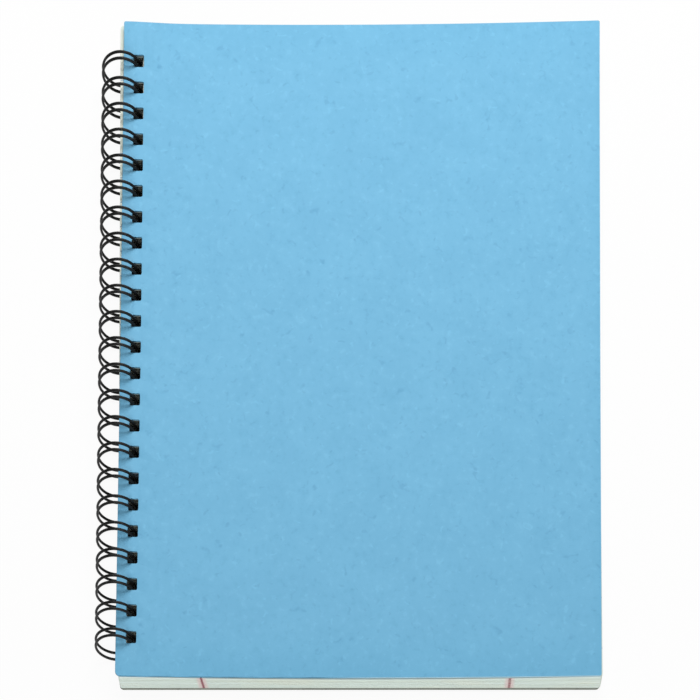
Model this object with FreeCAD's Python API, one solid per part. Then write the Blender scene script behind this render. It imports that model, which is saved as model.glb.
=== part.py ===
"""A5 spiral notebook: two covers and a block of pages, held by one twin-loop wire.

Everything is drawn in the binding's own frame first, with the centre line of the
loops along Y, the sheets lying towards +X and the front cover on top.  The book is
then tilted and moved to where it comes to rest: on its loops and on the fore-edge
of the back cover.  All sizes are in millimetres.
"""
import FreeCAD, Part
import math
import os

from FreeCAD import Placement, Rotation, Vector

# Sheets
SHEET_WIDTH = 148.0
SHEET_LENGTH = 211.0
CORNER_RADIUS = 1.2
FRONT_COVER_THICKNESS = 0.45
PAGES_THICKNESS = 5.8
BACK_COVER_THICKNESS = 0.95
LEAF_GAP = 0.1              # between the pages and each cover
DISH_DEPTH = 1.0            # how far the front cover sags halfway across
SPINE_SETBACK = 0.6         # from the centre line of the loops to the sheets' spine edge

# Wire
WIRE_DIAMETER = 0.9
LOOP_OUTER_DIAMETER = 13.0
LOOP_PITCH = 25.4 / 3       # three loops to the inch
WIRE_SIDES = 6              # flats that stand for the wire's round section
BEND_TOLERANCE = 0.12       # between a bend's curve and the flats that stand for it
WIRE_PAIR_SPACING = 2.1     # between the two wires of one loop
LINK_BEND_RADIUS = 1.0      # where a loop turns into the link to the next one
SEAM_GAP = 0.36             # between the tip of a closed loop and its own foot

# Punching
HOLE_CLEARANCE = 0.4
SHORTEST_END_MARGIN = 10.5  # from the head or tail to the middle of the nearest loop

# The last leaves bend up over the links of the wire
RELIEF_CLEARANCE = 0.15
RELIEF_RAMP = 7.0

# Sizes that follow from those above
BOOK_THICKNESS = FRONT_COVER_THICKNESS + PAGES_THICKNESS + BACK_COVER_THICKNESS + 2 * LEAF_GAP
BOOK_TOP = BOOK_THICKNESS / 2
BOOK_BOTTOM = -BOOK_TOP
PAGES_BOTTOM = BOOK_BOTTOM + BACK_COVER_THICKNESS + LEAF_GAP
PAGES_TOP = PAGES_BOTTOM + PAGES_THICKNESS
SPINE_EDGE = SPINE_SETBACK
FORE_EDGE = SPINE_SETBACK + SHEET_WIDTH

WIRE_RADIUS = WIRE_DIAMETER / 2
LOOP_OUTER_RADIUS = LOOP_OUTER_DIAMETER / 2
LOOP_RADIUS = LOOP_OUTER_RADIUS - WIRE_RADIUS
LOOP_INNER_RADIUS = LOOP_RADIUS - WIRE_RADIUS
TIP_BEND_RADIUS = WIRE_PAIR_SPACING / 2
LOOP_COUNT = int((SHEET_LENGTH - 2 * SHORTEST_END_MARGIN) / LOOP_PITCH) + 1

HOLE_START = math.sqrt(LOOP_INNER_RADIUS ** 2 - BOOK_TOP ** 2) - HOLE_CLEARANCE
HOLE_END = LOOP_OUTER_RADIUS + HOLE_CLEARANCE
HOLE_LENGTH = WIRE_PAIR_SPACING + WIRE_DIAMETER + 2 * HOLE_CLEARANCE

Y_AXIS = Vector(0, 1, 0)


def loop_places():
    """Returns the place along Y of the middle of each loop, from the tail to the head."""
    first = -(LOOP_COUNT - 1) * LOOP_PITCH / 2
    return [first + i * LOOP_PITCH for i in range(LOOP_COUNT)]


def outward(degrees):
    """Returns the unit vector from the loops' centre line at this angle, from +X towards +Z."""
    angle = math.radians(degrees)
    return Vector(math.cos(angle), 0, math.sin(angle))


def around(degrees):
    """Returns the unit vector along a loop at this angle, the way that the angle grows."""
    return outward(degrees + 90)


# Wire seam

def link_radius():
    """Returns how far the links lie from the loops' centre line."""
    return math.hypot(LOOP_RADIUS, LINK_BEND_RADIUS)


def link_height():
    """Returns the height of the links, which lie on the inside of the back cover."""
    return BOOK_BOTTOM + BACK_COVER_THICKNESS + LEAF_GAP + WIRE_RADIUS


def loop_foot():
    """Returns the angle at which a loop leaves the bend to its link."""
    link_angle = math.degrees(math.asin(link_height() / link_radius()))
    return link_angle + math.degrees(math.atan2(LINK_BEND_RADIUS, LOOP_RADIUS))


def loop_span():
    """Returns the angle of a loop between its foot and the bend at its tip.

    The bend of the tip sits between the two bends of the foot, clear of both.
    """
    between_centres = TIP_BEND_RADIUS + LINK_BEND_RADIUS + WIRE_DIAMETER + SEAM_GAP
    along_wire = math.sqrt(between_centres ** 2 - (TIP_BEND_RADIUS + LINK_BEND_RADIUS) ** 2)
    return 360 - math.degrees(along_wire / LOOP_RADIUS)


def wire_section(centre, heading):
    """Returns the corners of the wire's section, whose flats are as far apart as the wire is thick.

    One of its flats is the outside of the loop.
    """
    across = heading.cross(Y_AXIS).normalize()
    corner_radius = WIRE_RADIUS / math.cos(math.pi / WIRE_SIDES)
    corners = []
    for i in range(WIRE_SIDES):
        angle = (i + 0.5) * 2 * math.pi / WIRE_SIDES
        corners.append(centre + (across * math.cos(angle) + Y_AXIS * math.sin(angle)) * corner_radius)
    return corners


def polygon_face(corners):
    """Returns a flat face with these corners."""
    return Part.Face(Part.makePolygon(corners + corners[:1]))


class WireBender:
    """Bends a wire one step at a time and keeps the skin of each step."""

    def __init__(self, start, heading):
        """Starts the wire with a cut end at start, running along heading."""
        self.place = start
        self.heading = heading
        self.section = wire_section(start, heading)
        self.skin = [polygon_face(self.section)]

    def move(self, step):
        """Moves the section by a placement and skins the way that it went."""
        moved = [step.multVec(corner) for corner in self.section]
        for i in range(WIRE_SIDES):
            self.skin.append(polygon_face([self.section[i - 1], self.section[i], moved[i], moved[i - 1]]))
        self.section = moved
        self.place = step.multVec(self.place)
        self.heading = step.Rotation.multVec(self.heading)

    def straight(self, length):
        """Runs straight on for length."""
        self.move(Placement(self.heading * length, Rotation()))

    def bend(self, axis, radius, degrees):
        """Bends the wire about axis, at radius, through degrees.

        The bend is a row of flats that lie no further than BEND_TOLERANCE inside its curve.
        """
        widest = math.degrees(2 * math.acos(1 - BEND_TOLERANCE / radius))
        flats = math.ceil(degrees / widest)
        centre = self.place - self.heading.cross(axis) * radius
        for _ in range(flats):
            self.move(Placement(Vector(), Rotation(axis, degrees / flats), centre))

    def cut(self):
        """Cuts the wire here and returns it as one solid."""
        self.skin.append(polygon_face(self.section))
        shell = Part.Shell(self.skin)
        shell.sewShape()
        solid = Part.Solid(shell)
        if solid.Volume < 0:
            solid.reverse()
        return solid


def make_wire_binding():
    """Returns the twin-loop wire: one black wire, bent into a row of closed hairpins.

    Each hairpin leaves the link behind it, goes up through the pages and the front
    cover, round the spine and up through the back cover, turns back at its tip and
    returns the same way.  The links and tips meet inside the back cover.
    """
    foot = loop_foot()
    span = loop_span()
    foot_outward = outward(foot)
    tip_outward = outward(foot + span)
    link_length = LOOP_PITCH - WIRE_PAIR_SPACING - 2 * LINK_BEND_RADIUS

    places = loop_places()
    start = foot_outward * LOOP_RADIUS + Y_AXIS * (places[0] - WIRE_PAIR_SPACING / 2)
    bender = WireBender(start, around(foot))
    for number in range(LOOP_COUNT):
        if number > 0:
            bender.bend(foot_outward, LINK_BEND_RADIUS, 90)
            bender.straight(link_length)
            bender.bend(foot_outward, LINK_BEND_RADIUS, 90)
        bender.bend(-Y_AXIS, LOOP_RADIUS, span)
        bender.bend(-tip_outward, TIP_BEND_RADIUS, 180)
        bender.bend(Y_AXIS, LOOP_RADIUS, span)
    return bender.cut()


# Sheets

def segment(start, end):
    """Returns a straight edge."""
    return Part.LineSegment(start, end).toShape()


def dished_edge(height, start, end):
    """Returns an arc at height across the sheets, which sags in the middle."""
    middle = (start + end) / 2
    return Part.Arc(
        Vector(start, 0, height), Vector(middle, 0, height - DISH_DEPTH), Vector(end, 0, height)).toShape()


def length_of_sheet(edges):
    """Returns the solid that this outline, seen from the tail, makes along the book's length."""
    outline = Part.Face(Part.Wire(Part.__sortEdges__(edges)))
    return outline.translated(Y_AXIS * (-SHEET_LENGTH / 2)).extrude(Y_AXIS * SHEET_LENGTH)


def sheet_outline():
    """Returns a tall block with the sheets' outline from above, with its four round corners."""
    height = 2 * BOOK_THICKNESS
    corner = Vector(SPINE_EDGE, -SHEET_LENGTH / 2, -height / 2)
    block = Part.makeBox(SHEET_WIDTH, SHEET_LENGTH, height, corner)
    upright = [edge for edge in block.Edges if abs(edge.tangentAt(edge.FirstParameter).z) > 0.99]
    return block.makeFillet(CORNER_RADIUS, upright)


def hole_punches():
    """Returns one tall rectangular punch for each loop."""
    height = 2 * BOOK_THICKNESS
    corner = Vector(HOLE_START, -HOLE_LENGTH / 2, -height / 2)
    punch = Part.makeBox(HOLE_END - HOLE_START, HOLE_LENGTH, height, corner)
    return [punch.translated(Y_AXIS * place) for place in loop_places()]


def punched(sheet):
    """Returns a sheet with its corners rounded and its row of holes cut."""
    return sheet.common(sheet_outline()).cut(hole_punches())


def make_front_cover():
    """Returns the front cover: thin card that sags a little between spine and fore-edge."""
    bottom = BOOK_TOP - FRONT_COVER_THICKNESS
    edges = [
        dished_edge(BOOK_TOP, SPINE_EDGE, FORE_EDGE),
        segment(Vector(FORE_EDGE, 0, BOOK_TOP), Vector(FORE_EDGE, 0, bottom)),
        dished_edge(bottom, SPINE_EDGE, FORE_EDGE),
        segment(Vector(SPINE_EDGE, 0, bottom), Vector(SPINE_EDGE, 0, BOOK_TOP)),
    ]
    return punched(length_of_sheet(edges))


def make_page_block():
    """Returns the pages as one block, under the dish of the front cover.

    Its last leaves rise over the links of the wire and come down again past them.
    """
    foot = loop_foot()
    link_line = outward(foot) * LOOP_RADIUS - around(foot) * LINK_BEND_RADIUS
    relief_top = link_line.z + WIRE_RADIUS + RELIEF_CLEARANCE
    relief_end = max(link_line.x + WIRE_RADIUS + RELIEF_CLEARANCE, HOLE_END)
    ramp_end = relief_end + RELIEF_RAMP
    corners = [
        Vector(SPINE_EDGE, 0, PAGES_TOP),
        Vector(SPINE_EDGE, 0, relief_top),
        Vector(relief_end, 0, relief_top),
        Vector(ramp_end, 0, PAGES_BOTTOM),
        Vector(FORE_EDGE, 0, PAGES_BOTTOM),
        Vector(FORE_EDGE, 0, PAGES_TOP),
    ]
    edges = [segment(start, end) for start, end in zip(corners, corners[1:])]
    edges.append(dished_edge(PAGES_TOP, SPINE_EDGE, FORE_EDGE))
    return punched(length_of_sheet(edges))


def make_back_cover():
    """Returns the back cover: a flat grey board, stiff enough to write on."""
    board = Part.makeBox(
        SHEET_WIDTH, SHEET_LENGTH, BACK_COVER_THICKNESS,
        Vector(SPINE_EDGE, -SHEET_LENGTH / 2, BOOK_BOTTOM))
    return punched(board)


# Rest

def resting_place():
    """Returns the turn and move that lay the book down.

    It touches the surface along the bottom of its loops and along the lower fore-edge
    of the back cover.  The origin is then under the middle of the whole book.
    """
    to_corner = math.hypot(FORE_EDGE, BOOK_BOTTOM)
    tilt = math.asin(LOOP_OUTER_RADIUS / to_corner) - math.atan2(-BOOK_BOTTOM, FORE_EDGE)
    reach = FORE_EDGE * math.cos(tilt) + BOOK_TOP * math.sin(tilt)
    middle = (reach - LOOP_OUTER_RADIUS) / 2
    return Placement(Vector(-middle, 0, LOOP_OUTER_RADIUS), Rotation(Y_AXIS, math.degrees(tilt)))


def main():
    """Builds each piece, lays it in its resting place and writes it to parts/."""
    os.makedirs("parts", exist_ok=True)
    pieces = {
        "front_cover": make_front_cover(),
        "page_block": make_page_block(),
        "back_cover": make_back_cover(),
        "wire_binding": make_wire_binding(),
    }
    place = resting_place()
    for name, shape in pieces.items():
        shape.transformShape(place.toMatrix())
        shape.exportStep(f"parts/{name}.step")
        print(name, "valid" if shape.isValid() else "NOT valid", round(shape.Volume, 2), "mm3",
              shape.BoundBox)
    print("hinge line", place.Base, "tilt", math.degrees(place.Rotation.Angle))


main()
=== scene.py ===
"""Looks of the spiral notebook: punched card, ruled leaves, pulp board and twin-loop wire.

Every piece is drawn in the binding's own frame, where the centre line of the loops runs
along Y and the sheets lie towards +X.  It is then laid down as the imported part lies.
"""

import logging
import math
import random
from dataclasses import dataclass, field
from enum import Enum, IntEnum

import bmesh
import bpy
from mathutils import Euler, Matrix, Vector

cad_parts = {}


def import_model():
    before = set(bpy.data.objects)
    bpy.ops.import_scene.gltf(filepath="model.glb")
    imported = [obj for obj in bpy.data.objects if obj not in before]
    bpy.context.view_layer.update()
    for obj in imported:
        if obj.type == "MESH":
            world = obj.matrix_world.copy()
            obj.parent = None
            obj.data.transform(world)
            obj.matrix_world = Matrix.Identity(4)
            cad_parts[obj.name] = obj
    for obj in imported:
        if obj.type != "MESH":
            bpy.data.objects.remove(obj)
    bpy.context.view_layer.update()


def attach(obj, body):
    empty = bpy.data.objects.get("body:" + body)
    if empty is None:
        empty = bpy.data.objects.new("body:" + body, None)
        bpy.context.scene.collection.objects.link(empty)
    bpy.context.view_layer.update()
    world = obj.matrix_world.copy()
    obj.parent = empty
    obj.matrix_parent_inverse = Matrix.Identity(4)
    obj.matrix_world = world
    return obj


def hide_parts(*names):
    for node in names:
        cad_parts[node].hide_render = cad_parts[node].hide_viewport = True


logger = logging.getLogger("notebook")

MM = 0.001
UP = Vector((0, 0, 1))
ALONG = Vector((0, 1, 0))
SEED = 23
TOUCH = 1e-4
SHEET_CREASE = 24.0
WIRE_CREASE = 60.0

RGB = tuple[float, float, float]
Stretch = tuple[float, float, float]
Span = tuple[float, float]


def tint(red: int, green: int, blue: int) -> RGB:
    """Turns a screen colour into the linear colour that a shader takes.

    Args:
        red: the red channel, 0 to 255.
        green: the green channel, 0 to 255.
        blue: the blue channel, 0 to 255.

    Returns:
        The linear colour.
    """
    def linear(value: int) -> float:
        """Returns one linear channel."""
        share = value / 255
        return share / 12.92 if share <= 0.04045 else ((share + 0.055) / 1.055) ** 2.4
    return linear(red), linear(green), linear(blue)


def smooth_step(share: float) -> float:
    """Returns a smooth rise from 0 to 1 as share goes from 0 to 1."""
    share = min(max(share, 0), 1)
    return share * share * (3 - 2 * share)


def bell(distance: float, reach: float) -> float:
    """Returns 1 at distance 0, which dies away smoothly over reach."""
    return math.exp(-((distance / reach) ** 2))


class Slot(Enum):
    """The record's material slots."""

    CARD = "blue_card"
    PAPER = "paper"
    BOARD = "grey_board"
    WIRE = "black_wire"


class Body(Enum):
    """The bodies that the pieces ride on."""

    BINDING = "binding"
    FRONT = "front_cover"
    BACK = "back_cover"


class Skin(IntEnum):
    """The material index of each part of a punched sheet's surface."""

    FACE = 0
    EDGE = 1
    HOLE = 2


@dataclass(frozen=True)
class Binding:
    """Sizes of the closed book in millimetres, in the binding's own frame."""

    sheet_width: float = 148.0
    sheet_length: float = 211.0
    front_thickness: float = 0.45
    pages_thickness: float = 5.8
    back_thickness: float = 0.95
    leaf_gap: float = 0.1
    dish_depth: float = 1.0
    spine_edge: float = 0.6
    wire_radius: float = 0.45
    loop_radius: float = 6.05
    loop_pitch: float = 25.4 / 3
    loop_count: int = 23
    pair_spacing: float = 2.1
    link_bend_radius: float = 1.0
    seam_gap: float = 0.36
    hole_clearance: float = 0.4
    relief_clearance: float = 0.15
    relief_ramp: float = 7.0

    @property
    def top(self) -> float:
        """Height of the front cover's upper face over the loops' centre line."""
        return (self.front_thickness + self.pages_thickness + self.back_thickness) / 2 + self.leaf_gap

    @property
    def fore_edge(self) -> float:
        """Place of the sheets' fore-edge along X."""
        return self.spine_edge + self.sheet_width

    @property
    def pages_bottom(self) -> float:
        """Height of the lowest leaf's underside."""
        return -self.top + self.back_thickness + self.leaf_gap

    @property
    def pages_top(self) -> float:
        """Height of the highest leaf's upper side at its edges."""
        return self.pages_bottom + self.pages_thickness

    @property
    def hole_start(self) -> float:
        """Side of the holes nearest the spine edge."""
        inner = self.loop_radius - self.wire_radius
        return math.sqrt(inner ** 2 - self.top ** 2) - self.hole_clearance

    @property
    def hole_end(self) -> float:
        """Side of the holes farthest from the spine edge."""
        return self.loop_radius + self.wire_radius + self.hole_clearance

    @property
    def hole_length(self) -> float:
        """Length of a hole along the book."""
        return self.pair_spacing + 2 * (self.wire_radius + self.hole_clearance)

    @property
    def link_height(self) -> float:
        """Height of the wire's links, which lie on the inside of the back cover."""
        return self.pages_bottom + self.wire_radius

    @property
    def relief_height(self) -> float:
        """Height of the lowest leaf where it rides over the links."""
        return self.link_height + self.wire_radius + self.relief_clearance

    def loop_places(self) -> list[float]:
        """Returns the place along Y of each loop's middle, from the tail to the head."""
        first = -(self.loop_count - 1) * self.loop_pitch / 2
        return [first + number * self.loop_pitch for number in range(self.loop_count)]

    def across(self, x: float) -> float:
        """Returns how far across the sheets x lies, from 0 at the spine edge to 1."""
        return (x - self.spine_edge) / self.sheet_width

    def sag(self, x: float) -> float:
        """Returns how far the dished front cover lies below its edges at x."""
        share = self.across(x)
        return 4 * self.dish_depth * share * (1 - share)

    def relief(self, x: float, y: float) -> float:
        """Finds how far the lowest leaf rises over the links; it lies flat past the last loops.

        Args:
            x: the place across the sheets.
            y: the place along the book.

        Returns:
            The rise in millimetres.
        """
        past = smooth_step((x - self.hole_end) / self.relief_ramp)
        last_wire = self.loop_places()[-1] + self.pair_spacing
        beyond = smooth_step((abs(y) - last_wire) / (self.sheet_length / 2 - last_wire))
        return (self.relief_height - self.pages_bottom) * (1 - past) * (1 - beyond)

    def resting_matrix(self) -> Matrix:
        """Finds how the book lies on the floor.

        Returns:
            The turn and move, in metres, that lay it on its loops and its fore-edge.
        """
        outer = self.loop_radius + self.wire_radius
        slope = math.asin(outer / math.hypot(self.fore_edge, self.top))
        tilt = slope - math.atan2(self.top, self.fore_edge)
        reach = self.fore_edge * math.cos(tilt) + self.top * math.sin(tilt)
        move = Matrix.Translation(Vector((-(reach - outer) / 2, 0, outer)) * MM)
        return move @ Matrix.Rotation(tilt, 4, "Y") @ Matrix.Scale(MM, 4)

    def tilt(self) -> float:
        """Returns the angle, in radians, at which the closed book slopes down to its fore-edge."""
        return self.resting_matrix().to_euler().y

    def origin(self) -> Vector:
        """Returns the middle of the loops' centre line, in metres."""
        return self.resting_matrix().translation


@dataclass(frozen=True)
class Fibres:
    """One kind of long fibre in a sheet: where its pattern starts, how fine it is and its ink."""

    shift: float
    scale: float
    ink: RGB
    share: float


@dataclass(frozen=True)
class CardFinish:
    """Dyed card with long fibres and a slightly cloudy sheet; scales are per metre."""

    base: RGB = tint(116, 189, 227)
    pale: RGB = tint(126, 199, 236)
    deep: RGB = tint(106, 178, 216)
    fleck: RGB = tint(92, 163, 205)
    base_share: float = 0.83
    cloud_scale: float = 90.0
    cloud_span: Span = (0.3, 0.7)
    mottle_scale: float = 480.0
    mottle_share: float = 0.5
    deep_mottle: Span = (0.52, 0.75)
    pale_mottle: Span = (0.46, 0.28)
    fibres: tuple[Fibres, ...] = (
        Fibres(0.0, 190.0, fleck, 0.42), Fibres(3.7, 290.0, fleck, 0.3), Fibres(7.1, 230.0, pale, 0.7))
    strand_span: Span = (0.01, 0.06)
    patch_scale: float = 1.6
    patch_span: Span = (0.58, 0.7)
    fibre_relief: float = 0.5
    tooth_scale: float = 3200.0
    tooth_relief: float = 0.7
    roughness: float = 0.56
    roughness_swing: float = 0.14
    gloss: float = 0.35
    bump: float = 0.22
    bump_depth: float = 0.00006
    # Painted light and shade on the cut edge: the darker edge colour stands in for the shadow line under
    # the card's foot, and the paler colour, laid on from 62 to 82 mm across towards the fore-edge, stands
    # in for light on the edge.
    edge: RGB = tint(80, 130, 156)
    edge_painted_light: RGB = tint(178, 216, 230)
    edge_fade: Span = (62.0, 82.0)
    edge_fade_share: float = 0.85
    edge_roughness: float = 0.77
    ply_stretch: Stretch = (120, 120, 9000)
    ply_span: Span = (0.35, 0.7)
    ply_bump: float = 0.3
    ply_depth: float = 0.00005


@dataclass(frozen=True)
class PaperFinish:
    """Uncoated writing paper with a printed ruling, whose sizes are in millimetres."""

    face: RGB = tint(234, 240, 226)
    edge: RGB = tint(234, 248, 243)
    edge_cream: RGB = tint(238, 241, 226)
    edge_shade: RGB = tint(220, 234, 229)
    # Painted shade: the near-black colour of the hole walls stands in for the shade inside the holes.
    punched: RGB = tint(38, 40, 40)
    rule: RGB = tint(176, 196, 214)
    margin: RGB = tint(156, 84, 98)
    margin_halo: RGB = tint(236, 204, 206)
    roughness: float = 0.85
    fibre_scale: float = 900.0
    fibre_share: float = 0.25
    fibre_bump: float = 0.12
    fibre_depth: float = 0.00004
    face_gloss: float = 0.25
    first_rule: float = 18.0
    last_rule: float = 7.0
    rule_pitch: float = 8.0
    rule_width: float = 0.22
    ink_span: Span = (0.1, 0.45)
    margin_width: float = 0.4
    margin_soft: float = 0.1
    margin_share: float = 0.85
    margin_from_spine: float = 25.7
    margin_from_fore_edge: float = 27.6
    spine_margin_lean: float = 0.2
    fore_edge_margin_lean: float = 0.08
    bleed: float = 0.4
    halo_width: float = 1.4
    halo_soft: float = 1.3
    halo_share: float = 0.75
    streak_stretch: Stretch = (18, 18, 2600)
    streak_span: Span = (0.3, 0.65)
    streak_bump: float = 0.25
    streak_depth: float = 0.00005
    patch_stretch: Stretch = (60, 60, 240)
    patch_span: Span = (0.45, 0.75)
    patch_share: float = 0.5
    edge_gloss: float = 0.2
    wall_stretch: Stretch = (200, 200, 2600)
    wall_span: Span = (0.5, 0.8)
    wall_share: float = 0.1
    wall_bump: float = 0.3
    wall_gloss: float = 0.1


@dataclass(frozen=True)
class BoardFinish:
    """Grey pulp board with darker and paler specks."""

    base: RGB = tint(136, 140, 126)
    pale: RGB = tint(160, 163, 149)
    dark: RGB = tint(104, 108, 97)
    edge: RGB = tint(140, 146, 137)
    cloud_scale: float = 110.0
    cloud_span: Span = (0.3, 0.7)
    cloud_share: float = 0.3
    pulp_scale: float = 700.0
    dark_pulp: Span = (0.56, 0.7)
    pale_pulp: Span = (0.42, 0.3)
    pulp_share: float = 0.7
    speck_scale: float = 620.0
    speck_span: Span = (0.16, 0.08)
    speck_share: float = 0.6
    layer_stretch: Stretch = (60, 60, 5200)
    layer_span: Span = (0.5, 0.7)
    layer_share: float = 0.5
    roughness: float = 0.8
    gloss: float = 0.25
    bump: float = 0.35
    bump_depth: float = 0.0001


@dataclass(frozen=True)
class WireFinish:
    """Steel wire in a thin black coating."""

    base: RGB = tint(13, 13, 12)
    worn: RGB = tint(36, 36, 33)
    worn_scale: float = 1500.0
    worn_span: Span = (0.6, 0.8)
    worn_share: float = 0.6
    film_scale: float = 420.0
    roughness: float = 0.32
    roughness_swing: float = 0.2
    gloss: float = 0.3
    bump: float = 0.15
    bump_depth: float = 0.00005


class NodeDesk:
    """Lays out the nodes of one material."""

    def __init__(self, name: str) -> None:
        """Starts an empty material.

        Args:
            name: the material's name.
        """
        self.material = bpy.data.materials.new(name)
        self.material.use_nodes = True
        self.tree = self.material.node_tree
        self.tree.nodes.clear()

    def add(self, kind: str, settings: dict | None = None, **inputs: object) -> bpy.types.Node:
        """Adds a node.

        Args:
            kind: the node's type name, without "ShaderNode".
            settings: properties of the node itself.
            inputs: values or sockets by input name, with _ for a space.

        Returns:
            The new node.
        """
        node = self.tree.nodes.new("ShaderNode" + kind)
        for key, value in (settings or {}).items():
            setattr(node, key, value)
        for key, value in inputs.items():
            self.feed(node.inputs[key.replace("_", " ")], value)
        return node

    def feed(self, socket: bpy.types.NodeSocket, value: object) -> None:
        """Links a socket to an output, or sets it to a value.

        Args:
            socket: the input socket.
            value: the output socket, colour or number.
        """
        if isinstance(value, bpy.types.NodeSocket):
            self.tree.links.new(value, socket)
        elif socket.type == "RGBA":
            socket.default_value = (*value, 1.0)
        else:
            socket.default_value = value

    def math(self, operation: str, *values: object) -> bpy.types.NodeSocket:
        """Adds a sum on numbers or sockets.

        Args:
            operation: the sum's name in the Math node.
            values: its numbers or sockets.

        Returns:
            Its outcome's socket.
        """
        node = self.add("Math", {"operation": operation})
        for socket, value in zip(node.inputs, values):
            self.feed(socket, value)
        return node.outputs[0]

    def flat_place(self, book: Binding) -> bpy.types.NodeSocket:
        """Turns Object coordinates into the binding's own frame.

        Args:
            book: the book's sizes, which say how it lies.

        Returns:
            The place's socket, in metres.
        """
        objects = self.add("TexCoord").outputs["Object"]
        return self.add(
            "Mapping", {"vector_type": "TEXTURE"}, Vector=objects, Location=book.origin(),
            Rotation=Euler((0, book.tilt(), 0))).outputs[0]

    def axes(self, place: bpy.types.NodeSocket) -> bpy.types.bpy_prop_collection:
        """Returns the place axis by axis."""
        return self.add("SeparateXYZ", Vector=place).outputs

    def noise(self, place: bpy.types.NodeSocket, scale: float, detail: float = 3.0,
              roughness: float = 0.5) -> bpy.types.NodeSocket:
        """Returns a noise between 0 and 1, whose features are about 1 / scale metres wide."""
        node = self.add("TexNoise", Vector=place, Scale=scale, Detail=detail, Roughness=roughness)
        return node.outputs["Fac"]

    def streaks(self, place: bpy.types.NodeSocket, stretch: Stretch, detail: float = 3.0,
                roughness: float = 0.5) -> bpy.types.NodeSocket:
        """Returns a noise between 0 and 1 that has its own scale along each axis."""
        scaled = self.add("Mapping", Vector=place, Scale=stretch).outputs[0]
        return self.noise(scaled, 1.0, detail, roughness)

    def ramp(self, value: bpy.types.NodeSocket, low: float, high: float) -> bpy.types.NodeSocket:
        """Returns 0 on low's side, 1 on high's side and a smooth step between them."""
        node = self.add("MapRange", {"interpolation_type": "SMOOTHSTEP"}, Value=value, From_Min=low,
                        From_Max=high)
        return node.outputs[0]

    def blend(self, share: object, first: object, second: object) -> bpy.types.NodeSocket:
        """Mixes two colours.

        Args:
            share: 0 for the first colour, 1 for the second.
            first: a colour or its socket.
            second: a colour or its socket.

        Returns:
            The mixed colour's socket.
        """
        node = self.add("Mix", {"data_type": "RGBA"})
        self.feed(node.inputs["Factor"], share)
        self.feed(node.inputs[6], first)
        self.feed(node.inputs[7], second)
        return node.outputs[2]

    def glaze(self, colour: object, ink: object, mask: bpy.types.NodeSocket,
              share: float) -> bpy.types.NodeSocket:
        """Returns the colour with an ink laid over it where the mask is 1, as strong as share."""
        return self.blend(self.math("MULTIPLY", mask, share), colour, ink)

    def relief(self, height: bpy.types.NodeSocket, strength: float, depth: float) -> bpy.types.NodeSocket:
        """Returns a bumped normal for a height between 0 and 1, depth in metres."""
        return self.add("Bump", Height=height, Strength=strength, Distance=depth).outputs[0]

    def line(self, value: bpy.types.NodeSocket, middle: float, width: float,
             soft: float) -> bpy.types.NodeSocket:
        """Returns 1 on a line where value is near middle, and 0 off it.

        Args:
            value: the coordinate across the line, in metres.
            middle: where the line lies, in metres.
            width: the line's full width, in metres.
            soft: the width of its soft border, in metres.

        Returns:
            The mask's socket.
        """
        away = self.math("ABSOLUTE", self.math("SUBTRACT", value, middle))
        return self.math("SUBTRACT", 1.0, self.ramp(away, width / 2, width / 2 + soft))

    def finish(self, colour: object, roughness: object, normal: object = None,
               **plain: float) -> bpy.types.Material:
        """Ends the material with its shader.

        Args:
            colour: base colour or its socket.
            roughness: roughness or its socket.
            normal: the bumped normal's socket.
            plain: numbers set on the shader's own sockets.

        Returns:
            The material.
        """
        shader = self.add("BsdfPrincipled")
        self.feed(shader.inputs["Base Color"], colour)
        self.feed(shader.inputs["Roughness"], roughness)
        if normal is not None:
            self.feed(shader.inputs["Normal"], normal)
        for key, value in plain.items():
            shader.inputs[key.replace("_", " ")].default_value = value
        self.add("OutputMaterial", Surface=shader.outputs[0])
        return self.material


class Workshop:
    """Turns finished bmeshes into the scene's pieces."""

    def __init__(self, book: Binding) -> None:
        """Keeps the book's sizes for laying each piece down."""
        self.book = book

    def piece(self, name: str, bm: bmesh.types.BMesh, materials: list[bpy.types.Material],
              sharp: float) -> bpy.types.Object:
        """Makes an object of a bmesh drawn in the binding's own frame.

        Args:
            name: the piece's name.
            bm: its shape in millimetres, which is freed here.
            materials: its materials, by material index.
            sharp: the angle in degrees past which an edge stays sharp.

        Returns:
            The new object, at the origin with its place in its mesh.
        """
        bmesh.ops.transform(bm, matrix=self.book.resting_matrix(), verts=bm.verts)
        for face in bm.faces:
            face.smooth = True
        mesh = bpy.data.meshes.new(name)
        bm.to_mesh(mesh)
        bm.free()
        mesh.set_sharp_from_angle(angle=math.radians(sharp))
        for material in materials:
            mesh.materials.append(material)
        made = bpy.data.objects.new(name, mesh)
        bpy.context.scene.collection.objects.link(made)
        logger.info("%s: %d faces", name, len(mesh.polygons))
        return made

    def declare(self, made: bpy.types.Object, body: Body, node: str) -> None:
        """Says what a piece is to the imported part.

        Args:
            made: the piece.
            body: the body that it rides on.
            node: the node that it stands for.
        """
        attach(made, body.value)
        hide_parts(node)


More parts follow.
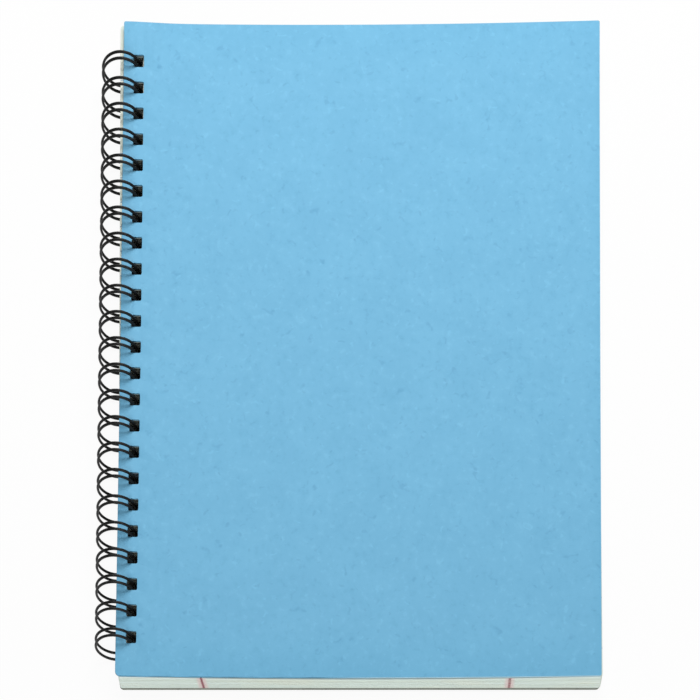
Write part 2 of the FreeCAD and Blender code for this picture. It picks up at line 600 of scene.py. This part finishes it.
@dataclass
class PunchedSheet:
    """A flat sheet with round corners and a row of punched holes, at height 0 and down."""

    book: Binding
    thickness: float
    columns: int
    hole_rounding: float = 0.0
    rim: float = 0.0
    every_row: bool = True
    ramp_columns: int = 1
    end_rows: tuple[float, ...] = ()
    hole_slack_out: float = 0.0
    hole_slack_in: float = 0.0
    corner_radius: float = 1.2
    foot_corner_radius: float = 1.2
    corner_segments: int = 5
    hole_segments: int = 3
    rim_segments: int = 2

    @property
    def hole_start(self) -> float:
        """Side of this sheet's holes nearest the spine edge."""
        return self.book.hole_start - self.hole_slack_out

    @property
    def hole_end(self) -> float:
        """Side of this sheet's holes farthest from the spine edge."""
        return self.book.hole_end + self.hole_slack_in

    def slice(self, bm: bmesh.types.BMesh, place: Vector, normal: Vector,
              reach: float | None = None) -> None:
        """Cuts the sheet along a plane.

        Args:
            bm: the sheet.
            place: a point of the plane.
            normal: the plane's normal.
            reach: how far along X the cut goes, or None for all the way.
        """
        faces = [face for face in bm.faces if reach is None or face.calc_center_median().x < reach]
        edges = {edge for face in faces for edge in face.edges}
        verts = {vert for face in faces for vert in face.verts}
        bmesh.ops.bisect_plane(
            bm, geom=[*verts, *edges, *faces], dist=TOUCH / 10, plane_co=place, plane_no=normal)

    def upright_edges(self, bm: bmesh.types.BMesh, at_holes: bool) -> list[bmesh.types.BMEdge]:
        """Finds the upright edges at corners.

        Args:
            bm: the sheet.
            at_holes: whether the holes' corners are meant, or else the sheet's.

        Returns:
            The edges.
        """
        book = self.book
        sides = (self.hole_start, self.hole_end) if at_holes else (book.spine_edge, book.fore_edge)
        found = []
        for edge in bm.edges:
            first, second = (vert.co for vert in edge.verts)
            if abs(first.z - second.z) < self.thickness / 2:
                continue
            if min(abs(first.x - side) for side in sides) > TOUCH:
                continue
            at_end = abs(abs(first.y) - book.sheet_length / 2) < TOUCH
            if at_end != at_holes:
                found.append(edge)
        return found

    def build(self) -> bmesh.types.BMesh:
        """Cuts the sheet out and punches it.

        Returns:
            A closed solid, flat, in millimetres.
        """
        book = self.book
        bm = bmesh.new()
        middle = Matrix.Translation((book.spine_edge + book.sheet_width / 2, 0, 0))
        outline = Matrix.Diagonal((book.sheet_width, book.sheet_length, 1, 1))
        bmesh.ops.create_grid(bm, x_segments=1, y_segments=1, size=0.5, matrix=middle @ outline)
        ramp_end = self.hole_end + book.relief_ramp
        ramp_step = book.relief_ramp / self.ramp_columns
        step = (book.fore_edge - ramp_end) / self.columns
        lines = [self.hole_start, self.hole_end]
        lines += [self.hole_end + ramp_step * (i + 1) for i in range(self.ramp_columns)]
        lines += [ramp_end + step * (i + 1) for i in range(self.columns - 1)]
        for x in lines:
            self.slice(bm, Vector((x, 0, 0)), Vector((1, 0, 0)))
        places = book.loop_places()
        if self.every_row:
            for place in places[:-1]:
                self.slice(bm, ALONG * (place + book.loop_pitch / 2), ALONG)
        for place in places:
            for side in (-1, 1):
                self.slice(bm, ALONG * (place + side * book.hole_length / 2), ALONG, self.hole_end)
        for from_end in self.end_rows:
            for side in (-1, 1):
                self.slice(bm, ALONG * side * (book.sheet_length / 2 - from_end), ALONG, ramp_end)
        cuts = []
        for face in bm.faces:
            centre = face.calc_center_median()
            nearest = min(abs(centre.y - place) for place in places)
            if self.hole_start < centre.x < self.hole_end and nearest < book.hole_length / 2:
                cuts.append(face)
        bmesh.ops.delete(bm, geom=cuts, context="FACES")
        grown = bmesh.ops.extrude_face_region(bm, geom=bm.faces[:])
        lowered = [part for part in grown["geom"] if isinstance(part, bmesh.types.BMVert)]
        bmesh.ops.translate(bm, verts=lowered, vec=-UP * self.thickness)
        bmesh.ops.recalc_face_normals(bm, faces=bm.faces)
        self.soften(bm)
        return bm

    def round_over(self, bm: bmesh.types.BMesh, edges: list[bmesh.types.BMEdge], radius: float,
                   segments: int) -> None:
        """Rounds edges over.

        Args:
            bm: the sheet.
            edges: the edges.
            radius: the rounding's radius in millimetres.
            segments: how many faces make the rounding.
        """
        bmesh.ops.bevel(
            bm, geom=edges, offset=radius, affect="EDGES", segments=segments, profile=0.5, material=-1,
            clamp_overlap=True)

    def rims(self, bm: bmesh.types.BMesh) -> list[bmesh.types.BMEdge]:
        """Finds the sheet's rims.

        Args:
            bm: the sheet.

        Returns:
            The edges between its faces and its upright walls.
        """
        bm.normal_update()
        found = []
        for edge in bm.edges:
            if len(edge.link_faces) == 2:
                upright, level = sorted(abs(face.normal.z) for face in edge.link_faces)
                if upright < 0.1 and level > 0.9:
                    found.append(edge)
        return found

    def soften(self, bm: bmesh.types.BMesh) -> None:
        """Rounds the sheet's corners, the corners of its holes and its rims.

        Args:
            bm: the sheet.
        """
        corners = self.upright_edges(bm, False)
        foot = [edge for edge in corners if edge.verts[0].co.y < 0 and edge.verts[0].co.x < self.hole_end]
        rest = [edge for edge in corners if edge not in foot]
        self.round_over(bm, foot, self.foot_corner_radius, self.corner_segments)
        self.round_over(bm, rest, self.corner_radius, self.corner_segments)
        if self.hole_rounding > 0:
            self.round_over(bm, self.upright_edges(bm, True), self.hole_rounding, self.hole_segments)
        if self.rim > 0:
            self.round_over(bm, self.rims(bm), self.rim, self.rim_segments)
        self.mark_skin(bm)

    def mark_skin(self, bm: bmesh.types.BMesh) -> None:
        """Gives each face the material index of its part of the surface.

        Args:
            bm: the sheet.
        """
        bm.normal_update()
        for face in bm.faces:
            centre = face.calc_center_median()
            at_hole = self.hole_start - 0.5 < centre.x < self.hole_end + 0.5
            inside = abs(centre.y) < self.book.sheet_length / 2 - 1
            wall = Skin.HOLE if at_hole and inside else Skin.EDGE
            face.material_index = Skin.FACE if abs(face.normal.z) > 0.95 else wall


@dataclass
class FrontCover:
    """Thin blue card that sags between spine and fore-edge, with two corners that lift a little."""

    book: Binding
    finish: CardFinish = field(default_factory=CardFinish)
    head_lift: float = 0.4
    head_reach: float = 14.0
    corner_lift: float = 0.65
    corner_reach: float = 11.5
    flare_at_spine: float = 0.45
    flare_at_fore_edge: float = 0.2
    columns: int = 34
    hole_rounding: float = 0.45
    rim: float = 0.07
    corner_radius: float = 0.6
    foot_corner_radius: float = 1.5

    def height(self, x: float, y: float) -> float:
        """Finds the height of the card's upper face.

        Args:
            x: the place across the card.
            y: the place along it.

        Returns:
            The height over the loops' centre line, in millimetres.
        """
        book = self.book
        from_head = book.sheet_length / 2 - y
        from_spine = x - book.spine_edge
        corner = bell(from_spine, self.corner_reach) * bell(from_head, self.corner_reach)
        lift = self.head_lift * bell(from_head, self.head_reach) + self.corner_lift * corner
        return book.top - book.sag(x) + lift

    def drift(self, x: float, y: float) -> float:
        """Finds how far the card's slightly wider foot moves a point.

        Args:
            x: the place across the card.
            y: the place along it.

        Returns:
            The move along X, in millimetres.
        """
        across = self.book.across(x)
        towards_foot = max(-2 * y / self.book.sheet_length, 0)
        return towards_foot * (self.flare_at_fore_edge * across - self.flare_at_spine * (1 - across))

    def build(self) -> bmesh.types.BMesh:
        """Cuts the card and dishes it.

        Returns:
            The card in millimetres.
        """
        sheet = PunchedSheet(
            self.book, self.book.front_thickness, columns=self.columns, hole_rounding=self.hole_rounding,
            rim=self.rim, corner_radius=self.corner_radius, foot_corner_radius=self.foot_corner_radius)
        bm = sheet.build()
        for vert in bm.verts:
            vert.co.z += self.height(vert.co.x, vert.co.y)
            vert.co.x += self.drift(vert.co.x, vert.co.y)
        return bm

    def face_material(self) -> bpy.types.Material:
        """Dyes the card's face: cloudy, with pale and dark fibres and a fine tooth.

        Returns:
            The material.
        """
        look = self.finish
        desk = NodeDesk("blue_card_face")
        place = desk.flat_place(self.book)
        cloud = desk.noise(place, look.cloud_scale, detail=3.0, roughness=0.55)
        mottle = desk.noise(place, look.mottle_scale, detail=4.0, roughness=0.6)
        colour = desk.blend(desk.ramp(cloud, *look.cloud_span), look.deep, look.pale)
        colour = desk.blend(look.base_share, colour, look.base)
        colour = desk.glaze(colour, look.deep, desk.ramp(mottle, *look.deep_mottle), look.mottle_share)
        colour = desk.glaze(colour, look.pale, desk.ramp(mottle, *look.pale_mottle), look.mottle_share)
        height = mottle
        for kind in look.fibres:
            mask = self.strands(desk, place, kind)
            colour = desk.glaze(colour, kind.ink, mask, kind.share)
            height = desk.math("ADD", height, desk.math("MULTIPLY", mask, look.fibre_relief))
        tooth = desk.noise(place, look.tooth_scale, detail=3.0, roughness=0.6)
        height = desk.math("ADD", height, desk.math("MULTIPLY", tooth, look.tooth_relief))
        normal = desk.relief(height, look.bump, look.bump_depth)
        roughness = desk.math("ADD", look.roughness, desk.math("MULTIPLY", mottle, look.roughness_swing))
        return desk.finish(colour, roughness, normal, Specular_IOR_Level=look.gloss)

    def strands(self, desk: NodeDesk, place: bpy.types.NodeSocket, kind: Fibres) -> bpy.types.NodeSocket:
        """Returns the mask of one kind of fibre, which lies in loose patches.

        Args:
            desk: the material's desk.
            place: the place in the binding's own frame.
            kind: the fibres.

        Returns:
            The mask's socket.
        """
        look = self.finish
        spot = desk.add("Mapping", Vector=place, Location=(kind.shift, kind.shift, 0)).outputs[0]
        path = desk.noise(spot, kind.scale, detail=1.0)
        away = desk.math("ABSOLUTE", desk.math("SUBTRACT", path, 0.5))
        strand = desk.math("SUBTRACT", 1.0, desk.ramp(away, *look.strand_span))
        patch = desk.ramp(desk.noise(spot, kind.scale * look.patch_scale, detail=2.0), *look.patch_span)
        return desk.math("MULTIPLY", strand, patch)

    def edge_material(self) -> bpy.types.Material:
        """Colours the card's cut edge with faint plies: its dark colour is painted shade, and its paler
        half towards the fore-edge is painted light.

        Returns:
            The material.
        """
        look = self.finish
        desk = NodeDesk("blue_card_edge")
        place = desk.flat_place(self.book)
        plies = desk.streaks(place, look.ply_stretch, detail=2.0)
        colour = desk.blend(desk.ramp(plies, *look.ply_span), look.edge, look.base)
        # Painted light: the edge turns paler towards the fore-edge; the darker edge colour nearer the
        # spine is painted shade.
        fade_start, fade_end = look.edge_fade
        painted_light_mask = desk.ramp(desk.axes(place)["X"], fade_start * MM, fade_end * MM)
        colour = desk.glaze(colour, look.edge_painted_light, painted_light_mask, look.edge_fade_share)
        return desk.finish(colour, look.edge_roughness, desk.relief(plies, look.ply_bump, look.ply_depth))

    def assemble(self, shop: Workshop) -> None:
        """Builds the card and lays it on the book.

        Args:
            shop: makes the piece.
        """
        edge = self.edge_material()
        made = shop.piece("front_card", self.build(), [self.face_material(), edge, edge], SHEET_CREASE)
        shop.declare(made, Body.FRONT, "front_cover")


@dataclass
class Pages:
    """A block of ruled leaves, each its own sheet, under the dish of the front cover."""

    book: Binding
    finish: PaperFinish = field(default_factory=PaperFinish)
    leaves: int = 40
    fill: float = 0.95
    jitter: float = 0.07
    settle: float = 0.45
    head_shift: float = -1.1
    foot_shift: float = 0.5
    foot_fan: float = 0.4
    hole_slack_out: float = 0.9
    hole_slack_in: float = 0.75
    columns: int = 12
    ramp_columns: int = 4
    end_rows: tuple[float, ...] = (2.5, 5.0, 7.5, 10.0)
    corner_radius: float = 0.7

    def shape_leaf(self, verts: list[bmesh.types.BMVert], number: int, dice: random.Random) -> None:
        """Bends one flat leaf to its level in the block and shifts it a little.

        Args:
            verts: the leaf's vertices, between heights -1 and 0.
            number: its place from the bottom.
            dice: the source of its small shifts.
        """
        book = self.book
        shift = Vector((dice.uniform(-1, 1), dice.uniform(-1, 1), 0)) * self.jitter
        low = number / self.leaves
        high = (number + self.fill) / self.leaves
        if number == self.leaves - 1:
            high = 1.0
        for vert in verts:
            across = book.across(vert.co.x)
            towards_foot = 0.5 - vert.co.y / book.sheet_length
            bottom = book.pages_bottom + book.relief(vert.co.x, vert.co.y)
            top = book.pages_top - book.sag(vert.co.x) - self.settle * 4 * across * (1 - across)
            level = high if vert.co.z > -0.5 else low
            vert.co.z = bottom + (top - bottom) * level
            slide = self.head_shift + (self.foot_shift - self.head_shift) * towards_foot
            vert.co.x += slide + self.foot_fan * (1 - low) * towards_foot
            vert.co += shift

    def build(self) -> bmesh.types.BMesh:
        """Cuts one leaf, and bends a copy to each level.

        Returns:
            All the leaves in millimetres.
        """
        dice = random.Random(SEED)
        flat = PunchedSheet(
            self.book, 1.0, columns=self.columns, every_row=False, ramp_columns=self.ramp_columns,
            end_rows=self.end_rows, hole_slack_out=self.hole_slack_out, hole_slack_in=self.hole_slack_in,
            corner_radius=self.corner_radius, foot_corner_radius=self.corner_radius).build()
        pattern = bpy.data.meshes.new("leaf_pattern")
        flat.to_mesh(pattern)
        flat.free()
        bm = bmesh.new()
        for number in range(self.leaves):
            done = len(bm.verts)
            bm.from_mesh(pattern)
            bm.verts.ensure_lookup_table()
            self.shape_leaf(bm.verts[done:], number, dice)
        bpy.data.meshes.remove(pattern)
        return bm

    def margin(self, desk: NodeDesk, axes: bpy.types.bpy_prop_collection, middle: float, lean: float,
               width: float, soft: float) -> bpy.types.NodeSocket:
        """Returns the mask of one printed margin line.

        Args:
            desk: the material's desk.
            axes: the place in the binding's own frame, axis by axis.
            middle: where the line lies on the top leaf, in millimetres.
            lean: how much farther from the spine it lies per depth in the block.
            width: the line's width in millimetres.
            soft: the soft border's width in millimetres.

        Returns:
            The mask's socket.
        """
        depth = desk.math("SUBTRACT", self.book.pages_top * MM, axes["Z"])
        upright = desk.math("SUBTRACT", axes["X"], desk.math("MULTIPLY", depth, lean))
        return desk.line(upright, middle * MM, width * MM, soft * MM)

    def edge_margins(self, desk: NodeDesk, axes: bpy.types.bpy_prop_collection, width: float,
                     soft: float) -> bpy.types.NodeSocket:
        """Returns the mask of the ends of both sides' margin lines on the cut edge.

        Args:
            desk: the material's desk.
            axes: the place in the binding's own frame, axis by axis.
            width: the line's width in millimetres.
            soft: the soft border's width in millimetres.

        Returns:
            The mask's socket.
        """
        look, book = self.finish, self.book
        near = book.spine_edge + look.margin_from_spine
        far = book.fore_edge - look.margin_from_fore_edge
        first = self.margin(desk, axes, near, look.spine_margin_lean, width, soft)
        second = self.margin(desk, axes, far, look.fore_edge_margin_lean, width, soft)
        return desk.math("MAXIMUM", first, second)

    def face_material(self) -> bpy.types.Material:
        """Prints the leaf's face: soft white paper with a feint ruling and a margin.

        Returns:
            The material.
        """
        look, book = self.finish, self.book
        desk = NodeDesk("ruled_paper_face")
        place = desk.flat_place(book)
        axes = desk.axes(place)
        fibre = desk.noise(place, look.fibre_scale, detail=4.0, roughness=0.6)
        colour = desk.glaze(look.face, look.edge_cream, fibre, look.fibre_share)
        ink = desk.math("MULTIPLY", self.ruling(desk, axes), desk.ramp(fibre, *look.ink_span))
        colour = desk.blend(ink, colour, look.rule)
        near = book.spine_edge + look.margin_from_spine
        margin = self.margin(desk, axes, near, look.spine_margin_lean, look.margin_width, look.margin_soft)
        colour = desk.glaze(colour, look.margin, margin, look.margin_share)
        normal = desk.relief(fibre, look.fibre_bump, look.fibre_depth)
        return desk.finish(colour, look.roughness, normal, Specular_IOR_Level=look.face_gloss)

    def ruling(self, desk: NodeDesk, axes: bpy.types.bpy_prop_collection) -> bpy.types.NodeSocket:
        """Returns the mask of the printed lines that run across the leaf.

        Args:
            desk: the material's desk.
            axes: the place in the binding's own frame, axis by axis.

        Returns:
            The mask's socket.
        """
        look, half = self.finish, self.book.sheet_length / 2
        down = desk.math("SUBTRACT", (half - look.first_rule) * MM, axes["Y"])
        phase = desk.math("PINGPONG", down, look.rule_pitch / 2 * MM)
        between = desk.ramp(phase, look.rule_width / 2 * MM, look.rule_width * MM)
        ruled = desk.math("SUBTRACT", 1.0, between)
        below_head = desk.ramp(down, -0.5 * MM, -0.3 * MM)
        above_foot = desk.ramp(axes["Y"], (look.last_rule - half) * MM, (look.last_rule + 0.1 - half) * MM)
        return desk.math("MULTIPLY", desk.math("MULTIPLY", ruled, below_head), above_foot)

    def edge_material(self) -> bpy.types.Material:
        """Colours the cut edge of the leaves: fine streaks and the ends of the margin lines.

        Returns:
            The material.
        """
        look = self.finish
        desk = NodeDesk("paper_cut_edge")
        place = desk.flat_place(self.book)
        axes = desk.axes(place)
        streak = desk.streaks(place, look.streak_stretch, roughness=0.65)
        patch = desk.streaks(place, look.patch_stretch, detail=2.0)
        colour = desk.blend(desk.ramp(streak, *look.streak_span), look.edge_shade, look.edge)
        colour = desk.glaze(colour, look.edge_cream, desk.ramp(patch, *look.patch_span), look.patch_share)
        halo = self.edge_margins(desk, axes, look.halo_width, look.halo_soft)
        core = self.edge_margins(desk, axes, look.margin_width, look.bleed)
        colour = desk.glaze(colour, look.margin_halo, halo, look.halo_share)
        colour = desk.glaze(colour, look.margin, core, look.margin_share)
        normal = desk.relief(streak, look.streak_bump, look.streak_depth)
        return desk.finish(colour, look.roughness, normal, Specular_IOR_Level=look.edge_gloss)

    def hole_shade_material(self) -> bpy.types.Material:
        """Colours the walls of the holes near black, as painted shade inside the holes, with faint pale
        streaks.

        Returns:
            The material.
        """
        look = self.finish
        desk = NodeDesk("paper_hole_painted_shade")
        streak = desk.streaks(desk.flat_place(self.book), look.wall_stretch)
        pale = desk.ramp(streak, *look.wall_span)
        # Painted shade: near-black walls, with faint pale streaks in the cut edge's colour.
        colour = desk.glaze(look.punched, look.edge_shade, pale, look.wall_share)
        normal = desk.relief(streak, look.wall_bump, look.streak_depth)
        return desk.finish(colour, look.roughness, normal, Specular_IOR_Level=look.wall_gloss)

    def assemble(self, shop: Workshop) -> None:
        """Builds the leaves and lays them between the covers.

        Args:
            shop: makes the piece.
        """
        dressing = [self.face_material(), self.edge_material(), self.hole_shade_material()]
        made = shop.piece("leaves", self.build(), dressing, SHEET_CREASE)
        shop.declare(made, Body.BINDING, "page_block")


@dataclass
class BackCover:
    """Flat grey pulp board with softened rims."""

    book: Binding
    finish: BoardFinish = field(default_factory=BoardFinish)
    head_shift: float = 0.15
    foot_shift: float = 0.85
    hole_slack_out: float = 0.5
    columns: int = 6
    hole_rounding: float = 0.45
    rim: float = 0.12

    def build(self) -> bmesh.types.BMesh:
        """Cuts the board and shifts it by the little slack that its holes leave it.

        Returns:
            The board in millimetres.
        """
        sheet = PunchedSheet(
            self.book, self.book.back_thickness, columns=self.columns, hole_rounding=self.hole_rounding,
            rim=self.rim, hole_slack_out=self.hole_slack_out)
        bm = sheet.build()
        level = -self.book.top + self.book.back_thickness
        bmesh.ops.translate(bm, verts=bm.verts, vec=UP * level)
        for vert in bm.verts:
            towards_foot = 0.5 - vert.co.y / self.book.sheet_length
            vert.co.x += self.head_shift + (self.foot_shift - self.head_shift) * towards_foot
        return bm

    def material(self, name: str, colour_mid: RGB, layered: bool) -> bpy.types.Material:
        """Returns the board's face or its cut edge.

        Args:
            name: the material's name.
            colour_mid: its main colour.
            layered: whether the pulp's layers show, as on a cut edge.

        Returns:
            The material.
        """
        look = self.finish
        desk = NodeDesk(name)
        place = desk.flat_place(self.book)
        pulp = desk.noise(place, look.pulp_scale, detail=5.0, roughness=0.65)
        cloud = desk.noise(place, look.cloud_scale, detail=2.0)
        specks = desk.add("TexVoronoi", Vector=place, Scale=look.speck_scale).outputs["Distance"]
        colour = desk.glaze(colour_mid, look.pale, desk.ramp(cloud, *look.cloud_span), look.cloud_share)
        colour = desk.glaze(colour, look.dark, desk.ramp(pulp, *look.dark_pulp), look.pulp_share)
        colour = desk.glaze(colour, look.pale, desk.ramp(pulp, *look.pale_pulp), look.pulp_share)
        colour = desk.glaze(colour, look.dark, desk.ramp(specks, *look.speck_span), look.speck_share)
        height = pulp
        if layered:
            layers = desk.streaks(place, look.layer_stretch, detail=2.0)
            colour = desk.glaze(colour, look.dark, desk.ramp(layers, *look.layer_span), look.layer_share)
            height = desk.math("ADD", pulp, layers)
        normal = desk.relief(height, look.bump, look.bump_depth)
        return desk.finish(colour, look.roughness, normal, Specular_IOR_Level=look.gloss)

    def assemble(self, shop: Workshop) -> None:
        """Builds the board and lays it under the pages.

        Args:
            shop: makes the piece.
        """
        face = self.material("pulp_board_face", self.finish.base, False)
        edge = self.material("pulp_board_edge", self.finish.edge, True)
        made = shop.piece("back_board", self.build(), [face, edge, edge], SHEET_CREASE)
        shop.declare(made, Body.BACK, "back_cover")


class WireRun:
    """Draws a round wire step by step, as a wire bender would."""

    def __init__(self, radius: float, sides: int, start: Vector, heading: Vector) -> None:
        """Starts the wire with an open ring at start.

        Args:
            radius: half the wire's thickness.
            sides: corners of the ring.
            start: the ring's middle.
            heading: the way that the wire runs there.
        """
        self.bm = bmesh.new()
        self.place = start.copy()
        self.heading = heading.normalized()
        turn = self.heading.to_track_quat("Z", "Y").to_matrix().to_4x4()
        bmesh.ops.create_circle(
            self.bm, cap_ends=False, segments=sides, radius=radius,
            matrix=Matrix.Translation(start) @ turn)
        self.ring = [*self.bm.verts, *self.bm.edges]

    def bend(self, axis: Vector, radius: float, angle: float, steps: int) -> None:
        """Bends the wire.

        Args:
            axis: the axis of the bend.
            radius: the bend's radius.
            angle: the bend's angle in radians.
            steps: how many flats make the bend.
        """
        centre = self.place - self.heading.cross(axis) * radius
        spun = bmesh.ops.spin(
            self.bm, geom=self.ring, cent=centre, axis=axis, dvec=(0, 0, 0), angle=angle,
            space=Matrix.Identity(4), steps=steps, use_merge=False, use_normal_flip=False,
            use_duplicate=False)
        self.ring = spun["geom_last"]
        turn = Matrix.Rotation(angle, 3, axis)
        self.place = centre + turn @ (self.place - centre)
        self.heading = turn @ self.heading

    def straight(self, length: float) -> None:
        """Runs straight on.

        Args:
            length: how far.
        """
        edges = [part for part in self.ring if isinstance(part, bmesh.types.BMEdge)]
        grown = bmesh.ops.extrude_edge_only(self.bm, edges=edges)
        moved = [part for part in grown["geom"] if isinstance(part, bmesh.types.BMVert)]
        bmesh.ops.translate(self.bm, verts=moved, vec=self.heading * length)
        fresh = set(moved)
        rim = [part for part in grown["geom"]
               if isinstance(part, bmesh.types.BMEdge) and all(vert in fresh for vert in part.verts)]
        self.ring = [*moved, *rim]
        self.place = self.place + self.heading * length

    def close(self) -> bmesh.types.BMesh:
        """Caps both ends.

        Returns:
            The wire's closed skin.
        """
        open_edges = [edge for edge in self.bm.edges if edge.is_boundary]
        bmesh.ops.holes_fill(self.bm, edges=open_edges, sides=0)
        bmesh.ops.recalc_face_normals(self.bm, faces=self.bm.faces)
        return self.bm


@dataclass
class TwinLoopWire:
    """One black wire bent into a row of closed hairpins that hold the sheets."""

    book: Binding
    finish: WireFinish = field(default_factory=WireFinish)
    drawn_radius: float = 0.4
    sides: int = 10
    loop_steps: int = 44
    tip_steps: int = 10
    link_steps: int = 5
    skew: float = 0.08

    def outward(self, angle: float) -> Vector:
        """Returns the unit vector from the centre line at this angle, from +X towards +Z."""
        return Vector((math.cos(angle), 0, math.sin(angle)))

    def build(self) -> bmesh.types.BMesh:
        """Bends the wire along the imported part's path, with the loops slightly askew.

        Returns:
            The wire in millimetres.
        """
        book = self.book
        link_radius = math.hypot(book.loop_radius, book.link_bend_radius)
        foot = math.asin(book.link_height / link_radius)
        foot += math.atan2(book.link_bend_radius, book.loop_radius)
        bends = book.pair_spacing / 2 + book.link_bend_radius
        nest = math.sqrt((bends + 2 * book.wire_radius + book.seam_gap) ** 2 - bends ** 2)
        span = 2 * math.pi - nest / book.loop_radius
        foot_axis = self.outward(foot)
        tip_axis = self.outward(foot + span)
        link_length = book.loop_pitch - book.pair_spacing - 2 * book.link_bend_radius
        start = foot_axis * book.loop_radius + ALONG * (book.loop_places()[0] - book.pair_spacing / 2)
        run = WireRun(self.drawn_radius, self.sides, start, self.outward(foot + math.pi / 2))
        for number in range(book.loop_count):
            if number > 0:
                run.bend(foot_axis, book.link_bend_radius, math.pi / 2, self.link_steps)
                run.straight(link_length)
                run.bend(foot_axis, book.link_bend_radius, math.pi / 2, self.link_steps)
            run.bend(-ALONG, book.loop_radius, span, self.loop_steps)
            run.bend(-tip_axis, book.pair_spacing / 2, math.pi, self.tip_steps)
            run.bend(ALONG, book.loop_radius, span, self.loop_steps)
        bm = run.close()
        slant = Matrix.Identity(4)
        slant[1][0] = -self.skew
        bmesh.ops.transform(bm, matrix=slant, verts=bm.verts)
        return bm

    def material(self) -> bpy.types.Material:
        """Coats the wire black, slightly uneven and a little rubbed.

        Returns:
            The material.
        """
        look = self.finish
        desk = NodeDesk("black_coated_wire")
        place = desk.add("TexCoord").outputs["Object"]
        film = desk.noise(place, look.film_scale, detail=3.0)
        scuffs = desk.noise(place, look.worn_scale, detail=4.0, roughness=0.7)
        colour = desk.glaze(look.base, look.worn, desk.ramp(scuffs, *look.worn_span), look.worn_share)
        roughness = desk.math("ADD", look.roughness, desk.math("MULTIPLY", film, look.roughness_swing))
        normal = desk.relief(film, look.bump, look.bump_depth)
        return desk.finish(colour, roughness, normal, Specular_IOR_Level=look.gloss)

    def assemble(self, shop: Workshop) -> None:
        """Bends the wire and threads it through the book."""
        made = shop.piece("twin_loop_wire", self.build(), [self.material()], WIRE_CREASE)
        shop.declare(made, Body.BINDING, "wire_binding")


@dataclass(frozen=True)
class Lamp:
    """A square soft lamp, in metres and watts."""

    name: str
    place: tuple[float, float, float]
    size: float
    power: float


@dataclass(frozen=True)
class Studio:
    """White floor, soft lamps and the camera.

    The photograph keeps the upright edges upright: its picture plane is square to the
    cover although the eye stands in front of the book.  The camera's rig turns that
    plane away from the line of sight, so its three axes aren't square to each other.
    """

    eye: tuple[float, float, float] = (-0.0298, -0.4957, 0.6292)
    picture_right: tuple[float, float, float] = (0.99930573, 0.01028337, -0.03580948)
    picture_up: tuple[float, float, float] = (-0.0080798, 0.99809615, 0.06114573)
    line_of_sight: tuple[float, float, float] = (0.03822472, 0.62278573, -0.78145813)
    lens: float = 132.22
    sensor: float = 36.0
    clipping: Span = (0.01, 50.0)
    lamps: tuple[Lamp, ...] = (
        Lamp("head_lamp", (0.04, 0.42, 0.55), 0.45, 3.7), Lamp("front_lamp", (0.1, -1.2, 0.4), 0.8, 6.5))
    floor_size: float = 6.0
    world_strength: float = 0.28
    shadow_share: float = 0.06
    floor_white: float = 0.9

    def add_camera(self) -> None:
        """Adds the camera on its rig."""
        rig = bpy.data.objects.new("camera_rig", None)
        bpy.context.scene.collection.objects.link(rig)
        lens = bpy.data.cameras.new("camera")
        lens.lens = self.lens
        lens.sensor_width = self.sensor
        lens.clip_start, lens.clip_end = self.clipping
        camera = bpy.data.objects.new("camera", lens)
        bpy.context.scene.collection.objects.link(camera)
        back = -Vector(self.line_of_sight)
        axes = Matrix((self.picture_right, self.picture_up, back)).transposed().to_4x4()
        axes.translation = Vector(self.eye)
        camera.parent = rig
        camera.matrix_parent_inverse = axes
        bpy.context.scene.camera = camera

    def add_lamp(self, lamp: Lamp) -> None:
        """Adds a white lamp that faces the middle of the book.

        Args:
            lamp: the lamp's place, size and power.
        """
        light = bpy.data.lights.new(lamp.name, "AREA")
        light.size = lamp.size
        light.energy = lamp.power
        made = bpy.data.objects.new(lamp.name, light)
        made.location = lamp.place
        made.rotation_euler = Vector(lamp.place).to_track_quat("Z", "Y").to_euler()
        bpy.context.scene.collection.objects.link(made)

    def add_floor(self) -> None:
        """Adds the white floor, which keeps a faint shadow of the book."""
        bm = bmesh.new()
        bmesh.ops.create_grid(bm, x_segments=1, y_segments=1, size=self.floor_size / 2)
        mesh = bpy.data.meshes.new("floor")
        bm.to_mesh(mesh)
        bm.free()
        desk = NodeDesk("white_floor")
        paint = desk.add("BsdfDiffuse", Color=(self.floor_white,) * 3).outputs[0]
        glow = desk.add("Emission", Color=(1, 1, 1), Strength=1.0).outputs[0]
        path = desk.add("LightPath").outputs
        seen = desk.math("MAXIMUM", path["Is Camera Ray"], path["Is Glossy Ray"])
        seen = desk.math("MAXIMUM", seen, path["Is Transmission Ray"])
        share = desk.math("MULTIPLY", seen, 1 - self.shadow_share)
        mixed = desk.add("MixShader", Fac=share)
        desk.tree.links.new(paint, mixed.inputs[1])
        desk.tree.links.new(glow, mixed.inputs[2])
        desk.add("OutputMaterial", Surface=mixed.outputs[0])
        mesh.materials.append(desk.material)
        floor = bpy.data.objects.new("floor", mesh)
        bpy.context.scene.collection.objects.link(floor)

    def add_world(self) -> None:
        """Adds the even light of a white room."""
        world = bpy.data.worlds.new("white_room")
        world.use_nodes = True
        tree = world.node_tree
        background = tree.nodes["Background"]
        background.inputs["Color"].default_value = (1, 1, 1, 1)
        path = tree.nodes.new("ShaderNodeLightPath")
        level = tree.nodes.new("ShaderNodeMapRange")
        level.inputs["To Min"].default_value = self.world_strength
        level.inputs["To Max"].default_value = 1.0
        tree.links.new(path.outputs["Is Camera Ray"], level.inputs["Value"])
        tree.links.new(level.outputs[0], background.inputs["Strength"])
        bpy.context.scene.world = world

    def set_up(self) -> None:
        """Adds everything that surrounds the book."""
        self.add_camera()
        self.add_floor()
        self.add_world()
        for lamp in self.lamps:
            self.add_lamp(lamp)
        bpy.context.scene.view_settings.view_transform = "Standard"


def main() -> None:
    """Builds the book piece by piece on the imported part, then the studio around it."""
    logging.basicConfig(level=logging.INFO, format="%(name)s %(message)s")
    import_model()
    book = Binding()
    shop = Workshop(book)
    TwinLoopWire(book).assemble(shop)
    Pages(book).assemble(shop)
    FrontCover(book).assemble(shop)
    BackCover(book).assemble(shop)
    Studio().set_up()


if __name__ == "__main__":
    main()
